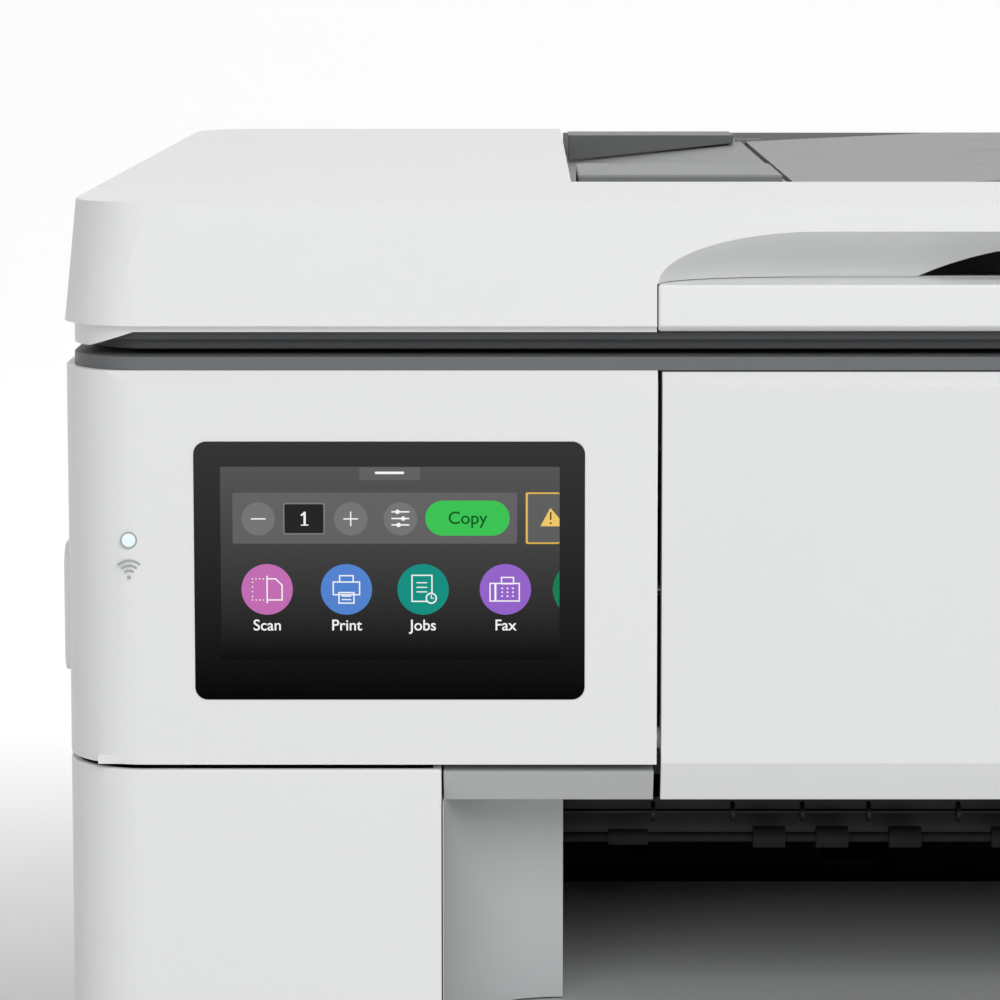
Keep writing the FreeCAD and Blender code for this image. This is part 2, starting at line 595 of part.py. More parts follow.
def make_back():
    plate = box("back_plate", ("-bayHalf + 0.2", "bayHalf - 0.2"), ("caseRear - wall", "caseRear"),
                ("footTop + 1", "upperTop"))
    posts = []
    tools = [
        box("rear_opening", ("-166.8", "166.8"), ("caseRear - 4", "caseRear + 1"), ("26", "200.8")),
        box("inlet_opening", ("-177.2", "-146.8"), ("caseRear - 4", "caseRear + 1"), ("209.8", "236.2")),
        box("ports_opening", ("141.8", "178.2"), ("caseRear - 4", "caseRear + 1"), ("209.8", "232.2")),
    ]
    for name, side in SIDES.items():
        for label, near in (("in", "hingeX"), ("out", "hingeX + 26")):
            reach = both(near, near + " + 6", side)
            posts.append(box(f"post_{label}_{name}", reach, ("hingeY - 5.6", "hingeY + 4.5"),
                             ("upperTop - 8", "hingeZ")))
            posts.append(rod(f"post_eye_{label}_{name}", "X", ("hingeY", "hingeZ"), "5.6", reach))
        tools.append(rod("hinge_bore_" + name, "X", ("hingeY", "hingeZ"), "2.5 + runFit",
                         both("hingeX - 1", "hingeX + 33", side)))
        posts.append(box("rear_lug_" + name, both("167.3", "172", side), ("caseRear - 1", "232.5"),
                         ("28", "40")))
        tools.append(rod("rear_bore_" + name, "X", ("228", "34"), "2 + runFit", both("166.5", "173", side)))
    node("back_cover", cut("back_cover", fuse("back_parts", plate, *posts), *tools))
    shell = box("rear_shell", ("-166", "166"), ("caseRear + 0.4", "233"), ("30", "200"))
    room = box("rear_room", ("-163", "163"), ("caseRear", "230.4"), ("40", "197"))
    pins = [rod("rear_pin_" + name, "X", ("228", "34"), "2", both("165", "171", side))
            for name, side in SIDES.items()]
    node("rear_door", fuse("rear_door", cut("rear_hollow", shell, room), *pins))
    screws = []
    for x in (-178, 178):
        for z in (16, 120, 196, 318):
            screws.append(rod(f"screw_{len(screws)}", "Y", (x, z), 3.2, ("caseRear", "caseRear + 1.6")))
    node("casing_screws", group("casing_screws", *screws))


def make_scanner():
    top = slab("ring_top", ("-288.8", "288.8"), ("-230.2", "210"), ("upperTop", "ringTop"), "21")
    tub = box("tub_mass", ("-tubHalf", "tubHalf"), ("-tubDeep", "tubDeep"), ("tubBottom", "upperTop + 1"))
    room = box("tub_room", ("-tubHalf + wall", "tubHalf - wall"), ("-tubDeep + wall", "tubDeep - wall"),
               ("tubBottom + wall", "upperTop - 2"))
    tools = [
        room,
        box("glass_seat", ("glassLeft", "glassRight"), ("-glassDeep", "glassDeep"),
            ("upperTop + 0.4", "ringTop + 1")),
        box("glass_hole", ("glassLeft + 4", "glassRight - 4"), ("-glassDeep + 4", "glassDeep - 4"),
            ("upperTop - 4", "ringTop + 1")),
        box("strip_seat", ("stripLeft", "stripRight"), ("-glassDeep", "glassDeep"),
            ("upperTop + 0.4", "ringTop + 1")),
        box("strip_hole", ("stripLeft + 3", "stripRight - 3"), ("-glassDeep + 4", "glassDeep - 4"),
            ("upperTop - 4", "ringTop + 1")),
    ]
    shell = cut("scanner_shell", fuse("scanner_mass", top, tub), *tools)
    rail = rod("scan_rail", "X", ("0", "tubBottom + 9"), "4", ("-tubHalf + 1", "tubHalf - 1"))
    node("scanner_frame", fuse("scanner_frame", shell, rail))
    main = box("main_glass", ("glassLeft + 0.2", "glassRight - 0.2"), ("-glassDeep + 0.2", "glassDeep - 0.2"),
               ("upperTop + 0.4", "ringTop - 0.2"))
    strip = box("strip_glass", ("stripLeft + 0.2", "stripRight - 0.2"),
                ("-glassDeep + 0.2", "glassDeep - 0.2"),
                ("upperTop + 0.4", "ringTop - 0.2"))
    node("scanner_glass", group("scanner_glass", main, strip))
    bar = box("bar_mass", ("-246", "-226"), ("-156", "156"), ("tubBottom + 3", "upperTop - 2.6"))
    bush = rod("bar_bush", "X", ("0", "tubBottom + 9"), "4 + runFit", ("-247", "-225"))
    node("scan_bar", cut("scan_bar", bar, bush))


def make_lid():
    crown = slab("lid_crown", ("-lidHalf", "lidHalf"), ("frontLine", "lidRear"), ("waist", "lidTop"),
                 "corner + 0.4",
                 "-5.33")
    return crown


def feeder_area(name, gap, low, high):
    """Plan of the feeder cover: the rear left corner of the lid, reaching forward along the side."""
    edge = f"feederX - {gap}"
    line = f"feederY + {gap}"
    rear = prism(name + "_rear", "XY", [("-300", line), (edge, line), (edge, "230"), ("-300", "230")],
                 (low, high))
    ear = cut(name + "_ear", box(name + "_strip", ("-300", "-259"), (f"-176 + {gap}", line), (low, high)),
              oval(name + "_round", gap, low, high))
    return fuse(name, rear, ear)


def oval(name, gap, low, high):
    """The rounded rear corner of the lid's front strip."""
    ring = doc.addObject("Part::Ellipse", name + "_edge")
    bind(ring, "MajorRadius", f"41 + {gap}")
    bind(ring, "MinorRadius", f"31 + {gap}")
    place(ring, "-259", "-176", low, FreeCAD.Rotation(Vector(0, 0, 1), 90))
    item = doc.addObject("Part::Extrusion", name)
    item.Base = ring
    item.DirMode = "Custom"
    item.Dir = Vector(0, 0, 1)
    item.Solid = True
    bind(item, "LengthFwd", f"({high}) - ({low})")
    return item


def scoop(name):
    """The hollow above the lid's grip: a quarter oval in section, as a long bar."""
    edge = doc.addObject("Part::Ellipse", name + "_edge")
    bind(edge, "MajorRadius", "scoopDeep")
    bind(edge, "MinorRadius", "scoopHigh")
    place(edge, "-scoopFlat", "frontLine", "handleTop", FreeCAD.Rotation(Vector(1, 1, 1), 120))
    bar = doc.addObject("Part::Extrusion", name)
    bar.Base = edge
    bar.DirMode = "Custom"
    bar.Dir = Vector(1, 0, 0)
    bar.Solid = True
    bind(bar, "LengthFwd", "2 * scoopFlat")
    return bar


def finger_notch():
    """The low arched pocket behind the grip."""
    arch = rod("notch_arch", "Y", ("0", "handleTop - 109.1"), "119.6", ("handleRear - 4", "-200"))
    room = box("notch_room", ("-60", "60"), ("handleRear - 5", "-200"), ("handleTop", "handleTop + 12"))
    return common("notch", arch, room)


def make_lid_shell():
    crown = make_lid()
    skirt = slab("lid_skirt", ("-lidHalf + 2.8", "lidHalf - 2.8"), ("frontLine + 2.8", "lidRear - 2.8"),
                 ("skirtBottom", "waist + 0.5"), "corner - 2.4")
    step = prism("lid_front_step", "XZ",
                 [("-286", "skirtBottom - 1"), ("286", "skirtBottom - 1"), ("270", "skirtFront"),
                  ("-270", "skirtFront")], ("frontLine", "-205"))
    room = slab("lid_room", ("-285.2", "285.2"), ("-226.7", "205.7"), ("skirtBottom - 1", "lidTop - wall"),
                "18")
    shell = cut("lid_hollow", fuse("lid_mass", crown, skirt), step, room)
    wall = box("scoop_wall", ("-127", "127"), ("-230", "-203"), ("skirtFront", "377.5"))
    tools = [
        scoop("lid_scoop"),
        box("grip_slot", ("-handleHalf - 0.4", "handleHalf + 0.4"), ("-240", "handleRear"),
            ("skirtFront - 1", "handleTop")),
        finger_notch(),
        box("strap_slot_left", ("-hingeX - 26.2", "-hingeX - 5.8"), ("204", "214"),
            ("lidFloor", "hingeZ + 3.4")),
        box("strap_slot_right", ("hingeX + 5.8", "hingeX + 26.2"), ("204", "214"),
            ("lidFloor", "hingeZ + 3.4")),
        box("feeder_opening", ("feederX", "283"), ("feederY", "230"), ("feederSeam - 6", "lidTop + 1")),
        feeder_area("feeder_gap", "0", "feederSeam", "lidTop + 5"),
    ]
    node("lid_shell", cut("lid_shell", fuse("lid_body", shell, wall), *tools))
    lip = prism("lid_grip", "YZ",
                [("frontLine + 2.6", "skirtFront + 0.2"), ("frontLine + 0.1", "waist"),
                 ("frontLine + 1.1", "handleTop - 0.2"), ("handleRear - 0.2", "handleTop - 0.2"),
                 ("handleRear - 0.2", "skirtFront + 0.2")], ("-handleHalf", "handleHalf"))
    node("lid_grip", lip)
    plate = slab("base_plate", ("-282", "282"), ("-223.5", "202.5"), ("lidFloor", "lidFloor + 3"), "15")
    rim = slab("base_rim_outer", ("-284.8", "284.8"), ("-226.3", "205.3"),
               ("lidFloor + 2.8", "skirtFront - 0.2"), "17")
    hole = slab("base_rim_inner", ("-281", "281"), ("-222", "201"), ("lidFloor + 2", "skirtFront + 1"), "14")
    rim_ring = cut("base_rim", rim, hole)
    node("lid_base", fuse("lid_base", plate, rim_ring))
    node("lid_backing", slab("lid_backing", ("glassLeft - 34", "glassRight + 2"),
                             ("-glassDeep - 2", "glassDeep + 2"),
                             ("ringTop + 0.3", "lidFloor"), "3"))
    hinges = []
    for name, side in SIDES.items():
        reach = both("hingeX + 6.4", "hingeX + 25.6", side)
        barrel = rod("hinge_barrel_" + name, "X", ("hingeY", "hingeZ"), "5", reach)
        strap = box("hinge_strap_" + name, reach, ("205.5", "hingeY - 3"), ("lidFloor + 3", "hingeZ + 3"))
        pin = rod("hinge_pin_" + name, "X", ("hingeY", "hingeZ"), "2.5",
                  both("hingeX + 0.5", "hingeX + 31.5", side))
        hinges.append(fuse("hinge_" + name, barrel, strap, pin))
    node("lid_hinges", group("lid_hinges", *hinges))


def make_feeder():
    """Document feeder: frame, cover, roller, guides and the tray flap."""
    slope = [("-238", "361.5"), ("feederX", "371.3"), ("-77.2", "378.6"), ("-77.2", "375.9"),
             ("feederX", "368.5"),
             ("-238", "358.7")]
    parts = [
        prism("feeder_floor", "XZ", slope, ("-127", "204")),
        box("feeder_bay", ("-77.2", "282.6"), ("-133", "206"), ("350", "352.6")),
        box("feeder_under", ("-240", "-77"), ("-127", "204"), ("350", "352.6")),
        box("feeder_step", ("-80", "-77.2"), ("-133", "206"), ("350", "376.5")),
        box("feeder_front", ("-145.6", "282.6"), ("-134.6", "-132"), ("350", "380.6")),
        box("feeder_back", ("-145.6", "282.6"), ("204", "206.6"), ("350", "380.6")),
        box("cheek_front", ("-240", "-150"), ("-128", "-125.4"), ("350", "376.5")),
        box("cheek_back", ("-240", "-150"), ("203", "205.6"), ("350", "376.5")),
        box("flap_ear_front", ("-79", "-69"), ("flapFront - 4", "flapFront - 0.4"), ("352", "379.4")),
        box("flap_ear_back", ("-79", "-69"), ("flapRear + 0.4", "flapRear + 4"), ("352", "379.4")),
    ]
    holes = [
        rod("feeder_bore", "Y", ("rollerX", "rollerZ"), "3 + runFit", ("-130", "207")),
        rod("flap_bore", "Y", ("-73.4", "377"), "1.2 + runFit", ("flapFront - 3.4", "flapRear + 3.4")),
    ]
    frame = cut("feeder_frame", fuse("feeder_parts", *parts), *holes)
    node("feeder_frame", frame)
    tyre = rod("feeder_tyre", "Y", ("rollerX", "rollerZ"), "6", ("32", "72"))
    shaft = rod("feeder_shaft", "Y", ("rollerX", "rollerZ"), "3", ("-128", "205.4"))
    node("feeder_roller", fuse("feeder_roller", tyre, shaft))
    crown = slab("cover_crown", ("-lidHalf", "lidHalf"), ("frontLine", "lidRear"), ("waist", "lidTop"),
                 "corner + 0.4", "-5.33")
    area = feeder_area("cover_area", "0.6", "feederSeam + 0.8", "lidTop + 5")
    room = cut("cover_room", slab("cover_inside", ("-285.6", "-100"), ("-200", "206.8"),
                                  ("feederSeam - 2", "lidTop - wall"), "18"),
               box("cover_front_wall", ("-300", "-100"), ("-240", "feederY + 3.2"),
                   ("feederSeam - 3", "lidTop + 1")))
    shell = cut("cover_shell", common("cover_mass", crown, area), room)
    bead = rod("cover_bead", "Y", ("-290.3", "feederSeam + 1.1"), "0.8", ("-60", "180"))
    node("feeder_cover", fuse("feeder_cover", shell, bead))
    outline = [("flapLeft", "378.5"), ("0", "lidTop"), ("281", "lidTop"), ("281", "lidTop - flapThick"),
               ("0", "lidTop - flapThick"), ("flapLeft", "378.5 - flapThick")]
    panel = prism("flap_panel", "XZ", outline, ("flapFront", "flapRear"))
    pin = rod("flap_pin", "Y", ("-73.4", "377"), "1.2", ("flapFront - 3.2", "flapRear + 3.2"))
    node("document_flap", fuse("document_flap", panel, pin))
    fence = [("guideLeft", "372.2"), ("guideRight", "378.9"), ("guideRight", "383"), ("guideLeft", "383")]
    front = fuse("document_guide_front", prism("fence_front", "XZ", fence,
                                               ("frontFence - 2.6", "frontFence")),
                 box("shelf_front", ("guideLeft", "guideRight"), ("-116.6", "frontFence"), ("380.4", "383")))
    node("document_guide_front", front)
    wall = [("guideLeft", "372.2"), ("guideRight", "378.9"), ("guideRight", "lidTop"),
            ("guideLeft", "lidTop")]
    rear = fuse("document_guide_rear", prism("fence_rear", "XZ", wall, ("rearFence", "rearFence + 2.6")),
                box("shelf_rear", ("guideLeft", "guideRight"), ("rearFence", "rearFence + 30"),
                    ("lidTop - 2.6", "lidTop")))
    node("document_guide_rear", rear)


def write_parts():
    """Check every object of the document, then write one STEP file for each sub-part."""
    doc.recompute()
    faults = [item.Name for item in doc.Objects if {"Invalid", "Error"} & set(item.State)]
    for label, item in nodes.items():
        if item.Shape.isNull() or not item.Shape.isValid():
            faults.append("shape of " + label)
    if faults:
        raise RuntimeError("failed: " + ", ".join(faults))
    os.makedirs("parts", exist_ok=True)
    for label, item in nodes.items():
        item.Shape.exportStep(f"parts/{label}.step")
        print(f"{label}: {len(item.Shape.Solids)} solid(s), {item.Shape.Volume / 1000:.1f} cm3")


make_feet()
make_base_frame()
make_lower_casings()
make_upper_casings()
make_panel()
make_front_door()
make_output_bay()
make_trays()
make_pick_roller()
make_engine()
make_electrics()
make_back()
make_scanner()
make_lid_shell()
make_feeder()
write_parts()
print(len(nodes), "sub-parts")
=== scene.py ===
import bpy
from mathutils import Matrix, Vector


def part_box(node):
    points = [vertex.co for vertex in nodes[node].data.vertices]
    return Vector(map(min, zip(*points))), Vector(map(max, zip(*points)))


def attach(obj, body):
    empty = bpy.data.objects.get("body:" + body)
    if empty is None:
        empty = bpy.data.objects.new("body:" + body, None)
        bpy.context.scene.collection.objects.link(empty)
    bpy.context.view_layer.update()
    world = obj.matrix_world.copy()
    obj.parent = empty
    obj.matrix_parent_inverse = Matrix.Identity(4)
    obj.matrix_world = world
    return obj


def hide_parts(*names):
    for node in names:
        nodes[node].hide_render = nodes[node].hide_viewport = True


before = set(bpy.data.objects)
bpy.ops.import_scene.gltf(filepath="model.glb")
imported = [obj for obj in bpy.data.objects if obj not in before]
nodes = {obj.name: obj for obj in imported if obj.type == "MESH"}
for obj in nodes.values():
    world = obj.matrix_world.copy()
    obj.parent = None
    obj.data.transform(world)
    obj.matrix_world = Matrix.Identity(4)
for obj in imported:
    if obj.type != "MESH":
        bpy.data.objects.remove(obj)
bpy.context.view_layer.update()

import math
import bmesh
import bpy
from mathutils import Matrix, Vector

mm = 0.001
collection = bpy.context.scene.collection
print("frame loaded with", len(nodes), "nodes")


# a socket of a shader tree that can be used in sums and products
class Wire:
    def __init__(self, tree, socket):
        self.tree = tree
        self.socket = socket

    def join(self, operation, first, second):
        return self.tree.add("ShaderNodeMath", {"operation": operation}, [first, second])

    def __add__(self, other):
        return self.join("ADD", self, other)

    def __radd__(self, other):
        return self.join("ADD", other, self)

    def __sub__(self, other):
        return self.join("SUBTRACT", self, other)

    def __rsub__(self, other):
        return self.join("SUBTRACT", other, self)

    def __mul__(self, other):
        return self.join("MULTIPLY", self, other)

    def __rmul__(self, other):
        return self.join("MULTIPLY", other, self)


# one material's node tree; add() makes any node, mix() blends two colours
class ShaderTree:
    def __init__(self, name):
        self.material = bpy.data.materials.new(name)
        self.material.use_nodes = True
        self.nodes = self.material.node_tree.nodes
        self.links = self.material.node_tree.links
        self.nodes.clear()
        self.shader = self.nodes.new("ShaderNodeBsdfPrincipled")
        output = self.nodes.new("ShaderNodeOutputMaterial")
        self.links.new(self.shader.outputs[0], output.inputs["Surface"])

    def feed(self, socket, value):
        if isinstance(value, Wire):
            self.links.new(value.socket, socket)
        elif value is not None:
            socket.default_value = value

    def add(self, kind, settings, inputs, output=0):
        node = self.nodes.new(kind)
        for key, value in settings.items():
            setattr(node, key, value)
        pairs = inputs.items() if isinstance(inputs, dict) else enumerate(inputs)
        for key, value in pairs:
            self.feed(node.inputs[key], value)
        return Wire(self, node.outputs[output])

    def mix(self, factor, first, second):
        node = self.nodes.new("ShaderNodeMix")
        node.data_type = "RGBA"
        self.feed(node.inputs[0], factor)
        self.feed(node.inputs[6], first)
        self.feed(node.inputs[7], second)
        return Wire(self, node.outputs[2])

    def place(self):
        return self.add("ShaderNodeTexCoord", {}, {}, "Object")

    def noise(self, vector, scale, detail=3.0):
        return self.add("ShaderNodeTexNoise", {}, {"Vector": vector, "Scale": scale, "Detail": detail})

    # 0 at the low level and 1 at the high one, along one axis
    def rise(self, axis, low, high):
        along = self.add("ShaderNodeSeparateXYZ", {}, [self.place()], axis)
        return self.add("ShaderNodeMapRange", {}, {"Value": along, "From Min": low, "From Max": high})

    def set(self, **values):
        for key, value in values.items():
            self.feed(self.shader.inputs[key.replace("_", " ")], value)


def linear(red, green, blue):
    parts = []
    for part in (red, green, blue):
        part = part / 255
        parts.append(part / 12.92 if part <= 0.04045 else ((part + 0.055) / 1.055) ** 2.4)
    return (*parts, 1.0)


def dimmed(color, share):
    return tuple(part * (1 - share) for part in color[:3]) + (1.0,)


# colour is given in screen values 0 to 255; grain in grains per metre; bump in metres
def plastic(name, color, rough=0.45, grain=1500, bump=0.00003, mottle=0.03, coat=0.0, wear=0.04):
    tree = ShaderTree(name)
    spot = tree.place()
    cloud = tree.noise(spot, 9.0)
    fine = tree.noise(spot, grain, 2.0)
    rub = tree.noise(spot, 60.0, 5.0)
    base = linear(*color)
    shade = tree.mix(cloud, base, dimmed(base, mottle))
    marks = tree.add("ShaderNodeMapRange", {}, {"Value": rub, "From Min": 0.56, "From Max": 0.74})
    tree.set(Base_Color=tree.mix(marks, shade, dimmed(base, wear)))
    tree.set(Roughness=rough - 0.06 + fine * 0.08 + marks * 0.06)
    tree.set(Normal=tree.add("ShaderNodeBump", {}, {"Strength": 0.35, "Distance": bump, "Height": fine}))
    tree.shader.inputs["Coat Weight"].default_value = coat
    tree.shader.inputs["Coat Roughness"].default_value = 0.15
    return tree.material


# brushed or plated metal; the brushing runs along X
def metal(name, color, rough=0.32, stretch=0.02):
    tree = ShaderTree(name)
    lay = tree.add("ShaderNodeMapping", {}, {"Vector": tree.place(), "Scale": (stretch, 1.0, 1.0)})
    streak = tree.noise(lay, 900.0, 4.0)
    stain = tree.noise(tree.place(), 14.0)
    base = linear(*color)
    tree.set(Base_Color=tree.mix(stain, base, dimmed(base, 0.15)))
    tree.set(Metallic=1.0, Roughness=rough - 0.1 + streak * 0.2)
    tree.set(Normal=tree.add("ShaderNodeBump", {}, {"Strength": 0.2, "Distance": 0.00002, "Height": streak}))
    return tree.material


def clearGlass(name):
    tree = ShaderTree(name)
    smear = tree.noise(tree.place(), 25.0, 4.0)
    tree.set(Base_Color=tree.mix(smear, (0.86, 0.93, 0.9, 1), (0.8, 0.9, 0.87, 1)))
    tree.set(Roughness=0.02 + smear * 0.04)
    tree.shader.inputs["Transmission Weight"].default_value = 1.0
    tree.shader.inputs["IOR"].default_value = 1.5
    return tree.material


# black cover glass with a painted reflection: it glows lighter towards its top edge
def coverGlass(name, low, high):
    tree = ShaderTree(name)
    smear = tree.noise(tree.place(), 30.0, 4.0)
    # painted reflection: an emission that rises from black at the foot to grey at the top edge
    paintedReflection = tree.mix(tree.rise("Z", low, high), linear(0, 0, 0), linear(58, 58, 58))
    tree.set(Base_Color=linear(2, 2, 2), Emission_Color=paintedReflection, Roughness=0.06 + smear * 0.05)
    tree.shader.inputs["Emission Strength"].default_value = 0.8
    tree.shader.inputs["Specular IOR Level"].default_value = 0.03
    return tree.material


# a lit patch of the display, a little dimmer towards its foot
def lit(name, color, low, high, fall=0.12):
    tree = ShaderTree(name)
    grid = tree.noise(tree.place(), 4000.0, 1.0)
    base = linear(*color)
    shine = tree.mix(tree.rise("Z", low, high), dimmed(base, fall), base)
    tree.set(Base_Color=linear(4, 4, 4), Emission_Color=shine, Roughness=0.2 + grid * 0.1)
    tree.shader.inputs["Emission Strength"].default_value = 1.0
    tree.shader.inputs["Specular IOR Level"].default_value = 0.03
    return tree.material


white = plastic("whiteShell", (246, 247, 247), 0.42, grain=1700, bump=0.00002, mottle=0.012, wear=0.012)
whiteDoor = plastic("whiteDoor", (243, 244, 245), 0.4, grain=1700, bump=0.00002, mottle=0.012, wear=0.012)
lightGrey = plastic("lightGreyBay", (196, 198, 199), 0.45, mottle=0.03)
guideGrey = plastic("guideGrey", (134, 136, 137), 0.45, grain=1100)
# a darker copy of guideGrey for the rear guide: painted shade from the cover above it
guidePaintedShade = plastic("guidePaintedShade", (104, 106, 107), 0.45, grain=1100)
frameGrey = plastic("feederGrey", (142, 144, 145), 0.5, grain=1000)
flapGrey = plastic("flapGrey", (150, 151, 152), 0.5, grain=1000)
ringGrey = plastic("scannerRing", (112, 114, 116), 0.5)
lidDark = plastic("lidUnderside", (84, 86, 88), 0.55)
trayGrey = plastic("trayGrey", (88, 90, 92), 0.5)
frameDark = plastic("chassisDark", (20, 21, 22), 0.6)
black = plastic("blackParts", (13, 13, 14), 0.42)
rubber = plastic("blackRubber", (34, 34, 34), 0.8, grain=2200, bump=0.00008)
foam = plastic("backingFoam", (236, 236, 232), 0.9, grain=900, bump=0.0001)
board = plastic("circuitBoard", (24, 84, 48), 0.4, grain=500, bump=0.0002, mottle=0.3)
inkTank = plastic("inkTank", (30, 31, 34), 0.25, coat=0.4)
steel = metal("zincSteel", (150, 152, 155))
polished = metal("polishedRod", (210, 212, 214), 0.16)
clear = clearGlass("scannerGlass")
print("materials made")


def paint(thing, material):
    thing.data.materials.clear()
    thing.data.materials.append(material)


finishes = {
    white: ["back_cover", "rear_door", "power_button"],
    guideGrey: ["side_guide_upper_left", "side_guide_upper_right", "side_guide_lower_left",
                "side_guide_lower_right", "length_guide_upper", "length_guide_lower"],
    trayGrey: ["tray_upper", "tray_lower"],
    frameDark: ["base_frame", "engine_frame", "service_station", "carriage", "scan_bar"],
    black: ["platen", "power_inlet", "port_sockets", "print_head", "display_panel", "star_wheels",
            "drive_pulley"],
    rubber: ["feet", "output_rollers", "feed_roller", "pick_roller", "feeder_roller", "carriage_belt"],
    foam: ["lid_backing"],
    board: ["main_board"],
    inkTank: ["ink_cartridges"],
    steel: ["power_supply", "motors", "casing_screws"],
    polished: ["guide_rod", "lid_hinges"],
    clear: ["scanner_glass"],
}
for material, names in finishes.items():
    for name in names:
        paint(nodes[name], material)


def linked(name, mesh):
    thing = bpy.data.objects.new(name, mesh)
    collection.objects.link(thing)
    return thing


def built(name, builder):
    mesh = bpy.data.meshes.new(name)
    builder.to_mesh(mesh)
    builder.free()
    return linked(name, mesh)


# material first, then the body it rides on
def settle(thing, material, body):
    paint(thing, material)
    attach(thing, body)


# the modifiers made into plain mesh
def apply(thing):
    graph = bpy.context.evaluated_depsgraph_get()
    mesh = bpy.data.meshes.new_from_object(thing.evaluated_get(graph))
    thing.modifiers.clear()
    thing.data = mesh


def carve(thing, cutters):
    for cutter in cutters:
        cut = thing.modifiers.new("carve", "BOOLEAN")
        cut.object = cutter
        cut.operation = "DIFFERENCE"
        cut.solver = "EXACT"
    apply(thing)
    for cutter in cutters:
        bpy.data.objects.remove(cutter)


# lengths in millimetres, angles in degrees
moulding = {"weld": 0.02, "flat": 0.6, "rounded": 24, "sharp": 22}


# a moulding with its sharp edges broken, made from the node's own faces
def softened(name, node, material, body, slot, edge, cutters=()):
    builder = bmesh.new()
    builder.from_mesh(nodes[node].data)
    bmesh.ops.remove_doubles(builder, verts=builder.verts, dist=moulding["weld"] * mm)
    bmesh.ops.dissolve_limit(builder, angle_limit=math.radians(moulding["flat"]), verts=builder.verts,
                             edges=builder.edges)
    thing = built(name, builder)
    if cutters:
        carve(thing, cutters)
    bevel = thing.modifiers.new("edges", "BEVEL")
    bevel.width = edge * mm
    bevel.segments = 2
    bevel.limit_method = "ANGLE"
    bevel.angle_limit = math.radians(moulding["rounded"])
    apply(thing)
    for polygon in thing.data.polygons:
        polygon.use_smooth = True
    thing.data.set_sharp_from_angle(angle=math.radians(moulding["sharp"]))
    evened = thing.modifiers.new("evened", "WEIGHTED_NORMAL")
    evened.keep_sharp = True
    apply(thing)
    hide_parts(node)
    settle(thing, material, body)


# the rounded ends of the hollow above the grip
scoop = {"straight": 77.8, "end": 45.7, "deep": 25.6, "high": 14.6, "front": -233.0, "foot": 359.4,
         "under": 0.2}


def scoopEnd(side):
    builder = bmesh.new()
    bmesh.ops.create_uvsphere(builder, u_segments=96, v_segments=48, radius=1.0)
    size = (scoop["end"] * mm, scoop["deep"] * mm, scoop["high"] * mm)
    bmesh.ops.scale(builder, vec=size, verts=builder.verts)
    spot = (side * scoop["straight"] * mm, scoop["front"] * mm, scoop["foot"] * mm)
    bmesh.ops.translate(builder, vec=spot, verts=builder.verts)
    everything = builder.verts[:] + builder.edges[:] + builder.faces[:]
    level = (0, 0, (scoop["foot"] - scoop["under"]) * mm)
    low = bmesh.ops.bisect_plane(builder, geom=everything, plane_co=level, plane_no=(0, 0, 1),
                                 clear_inner=True)
    rim = [item for item in low["geom_cut"] if isinstance(item, bmesh.types.BMEdge)]
    bmesh.ops.holes_fill(builder, edges=rim)
    bmesh.ops.recalc_face_normals(builder, faces=builder.faces)
    return built("scoopEnd", builder)


# name, node, material, body, slot, width of the broken edges in millimetres
shells = [
    ("lowerCasingLeft", "lower_casing_left", white, "base", "white_plastic", 0.5),
    ("lowerCasingRight", "lower_casing_right", white, "base", "white_plastic", 0.5),
    ("upperCasingLeft", "upper_casing_left", white, "base", "white_plastic", 0.5),
    ("upperCasingRight", "upper_casing_right", white, "base", "white_plastic", 0.5),
    ("frontDoor", "front_door", whiteDoor, "door", "white_plastic", 0.5),
    ("bayWallLeft", "bay_wall_left", lightGrey, "base", "light_grey_plastic", 0.8),
    ("bayWallRight", "bay_wall_right", lightGrey, "base", "light_grey_plastic", 0.8),
    ("outputDeck", "output_deck", lightGrey, "base", "light_grey_plastic", 0.5),
    ("outputExtension", "output_extension", lightGrey, "extension", "light_grey_plastic", 0.5),
    ("upperTrayFront", "tray_front_upper", white, "upper_drawer", "white_plastic", 0.8),
    ("lowerTrayFront", "tray_front_lower", white, "lower_drawer", "white_plastic", 0.8),
    ("scannerFrame", "scanner_frame", ringGrey, "base", "dark_grey_plastic", 0.8),
    ("lidBase", "lid_base", lidDark, "lid", "dark_grey_plastic", 0.6),
    ("lidGrip", "lid_grip", white, "lid", "white_plastic", 0.7),
    ("feederCover", "feeder_cover", white, "feeder_lid", "white_plastic", 0.45),
    ("feederFrame", "feeder_frame", frameGrey, "lid", "mid_grey_plastic", 0.4),
    ("documentFlap", "document_flap", flapGrey, "flap", "light_grey_plastic", 0.8),
    ("documentGuideFront", "document_guide_front", guideGrey, "guide_front", "mid_grey_plastic", 0.7),
    # the rear guide takes the darker copy of the guide grey, as painted shade
    ("documentGuideRear", "document_guide_rear", guidePaintedShade, "guide_rear", "mid_grey_plastic", 0.7),
]
for shell in shells:
    softened(*shell)
softened("lidShell", "lid_shell", white, "lid", "white_plastic", 0.4, [scoopEnd(-1), scoopEnd(1)])
print("mouldings softened")


# flat shapes of the display, all facing the front; sizes in millimetres
glassLow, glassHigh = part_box("display_glass")
glassFront = glassLow[1]
screen = {"left": -245.9, "right": -150.9, "top": 308.2, "bottom": 253.6, "layer": 0.012}
paint(nodes["display_glass"], coverGlass("coverGlass", glassLow[2], glassHigh[2]))
lampLow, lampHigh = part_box("wireless_lamp")
lamp = {"x": (lampLow[0] + lampHigh[0]) / 2 / mm, "z": (lampLow[2] + lampHigh[2]) / 2 / mm,
        "radius": (lampHigh[0] - lampLow[0]) / 2 / mm, "rim": 0.5}
lampFace = lit("wirelessLamp", (238, 255, 255), 0.28, 0.29)
paint(nodes["wireless_lamp"], lampFace)


